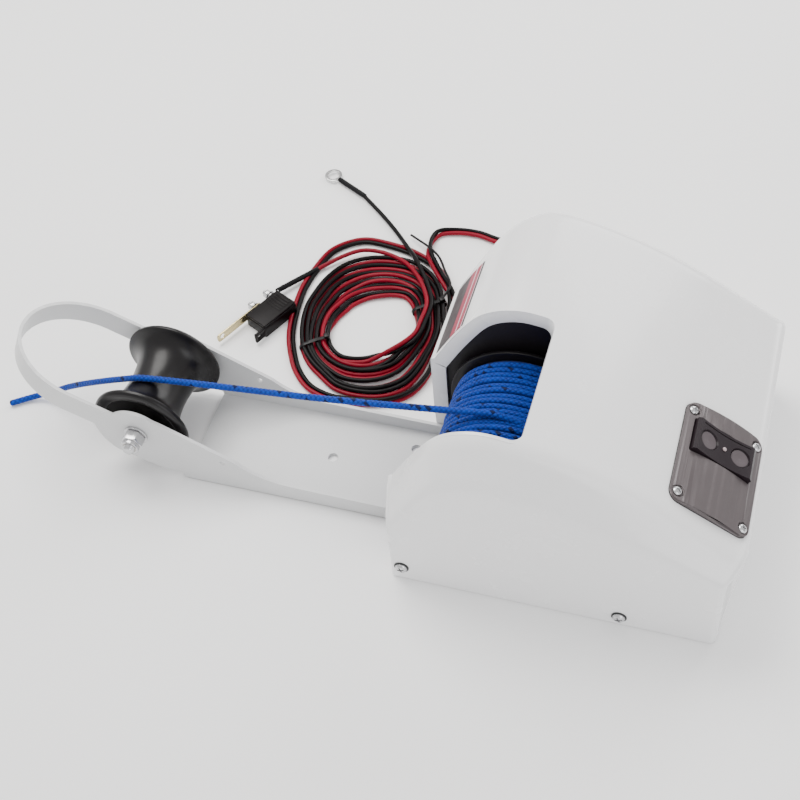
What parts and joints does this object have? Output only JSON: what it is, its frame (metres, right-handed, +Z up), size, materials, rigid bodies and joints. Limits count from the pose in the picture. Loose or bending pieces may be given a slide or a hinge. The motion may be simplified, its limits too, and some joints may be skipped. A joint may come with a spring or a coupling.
{
  "type": "anchor windlass",
  "caption": "Electric anchor windlass: moulded cover over a motor-driven rope drum, switch panel, bent davit bracket with bow roller and guard hoop, rope, and coiled supply cable.",
  "frame": {"origin": "on the deck plane under the davit bracket, midway between its two walls and straight below the drum's axis", "axes": "+X aft, away from the bow roller; +Y to starboard, towards the motor side; +Z up from the deck"},
  "size_m": [0.6746, 0.4622, 0.1771],
  "materials": {
    "bracket_paint": "gloss powder coat",
    "cover_plastic": "gloss",
    "roller_plastic": "gloss",
    "nylon": "satin",
    "stainless": "satin",
    "gear_steel": "machined",
    "label_film": "satin",
    "panel_paint": "fine metallic satin",
    "rocker_plastic": "satin",
    "lens_plastic": "gloss",
    "frame_paint": "satin",
    "drum_plastic": "satin",
    "rope_fibre": "braided",
    "bronze": "sintered",
    "motor_paint": "satin",
    "relay_plastic": "matte",
    "copper": "enamelled winding",
    "board_laminate": "solder mask",
    "gland_rubber": "matte",
    "red_insulation": "gloss",
    "black_insulation": "gloss",
    "tie_nylon": "satin",
    "tinned_copper": "tinned",
    "breaker_plastic": "satin",
    "brass_strap": "plated"
  },
  "bodies": {
    "winch_frame": {"davit_bracket": "bracket_paint", "roller_spacer_port": "nylon", "roller_spacer_starboard": "nylon", "roller_axle_bolt": "stainless", "axle_washer": "stainless", "axle_lock_nut": "stainless", "housing_cover": "cover_plastic", "label_plate": "label_film", "switch_panel": "panel_paint", "switch_body": "rocker_plastic", "base_pan": "frame_paint", "side_plate_port": "frame_paint", "side_plate_starboard": "frame_paint", "gear_plate_outer": "frame_paint", "gear_plate_post_1": "gear_steel", "gear_plate_post_2": "gear_steel", "gear_plate_post_3": "gear_steel", "shaft_bush_port": "bronze", "shaft_bush_starboard": "bronze", "shaft_bush_outer": "bronze", "idler_shaft": "gear_steel", "motor_can": "motor_paint", "motor_end_cap": "relay_plastic", "control_board": "board_laminate", "up_relay": "relay_plastic", "down_relay": "relay_plastic", "anchor_rope": "rope_fibre", "cable_gland": "gland_rubber", "power_cable": "red_insulation", "cable_coil": "red_insulation", "cable_tie_1": "tie_nylon", "cable_tie_2": "tie_nylon", "black_lead": "black_insulation", "black_heat_shrink": "black_insulation", "ring_terminal": "tinned_copper", "red_lead": "red_insulation", "circuit_breaker": "breaker_plastic", "breaker_stud_1": "stainless", "breaker_stud_2": "stainless", "battery_strap": "brass_strap", "red_heat_shrink": "black_insulation", "cover_screw_1": "stainless", "panel_screw_1": "stainless", "cover_screw_2": "stainless", "panel_screw_2": "stainless", "cover_screw_3": "stainless", "panel_screw_3": "stainless", "cover_screw_4": "stainless", "panel_screw_4": "stainless"},
    "drum": {"rope_drum": "drum_plastic", "wound_rope": "rope_fibre", "drum_shaft": "gear_steel", "drum_gear": "gear_steel"},
    "idler": {"idler_gear": "gear_steel"},
    "motor_rotor": {"motor_armature": "copper", "motor_pinion": "gear_steel"},
    "roller": {"bow_roller": "roller_plastic"},
    "rocker": {"rocker_switch": "rocker_plastic", "indicator_lens": "lens_plastic"}
  },
  "joints": [
    {"name": "drum_spin", "type": "hinge", "parent": "winch_frame", "child": "drum", "pos_m": [0, 0, 0.07], "axis": [0, 1, 0], "continuous": true},
    {"name": "idler_spin", "type": "hinge", "parent": "winch_frame", "child": "idler", "pos_m": [0.06293, 0, 0.08686], "axis": [0, 1, 0], "continuous": true},
    {"name": "motor_spin", "type": "hinge", "parent": "winch_frame", "child": "motor_rotor", "pos_m": [0.09787, 0, 0.07057], "axis": [0, 1, 0], "continuous": true},
    {"name": "roller_spin", "type": "hinge", "parent": "winch_frame", "child": "roller", "pos_m": [-0.32, 0, 0.051], "axis": [0, 1, 0], "continuous": true},
    {"name": "rocker_tilt", "type": "hinge", "parent": "winch_frame", "child": "rocker", "pos_m": [0.1624, 0, 0.10939], "axis": [0, 1, 0], "range_deg": [-5, 5], "stiffness_Nm_per_rad": 0.6}
  ],
  "couplings": [
    {"joint": "idler_spin", "follows": "drum_spin", "ratio": -3.3333},
    {"joint": "motor_spin", "follows": "drum_spin", "ratio": 10}
  ]
}
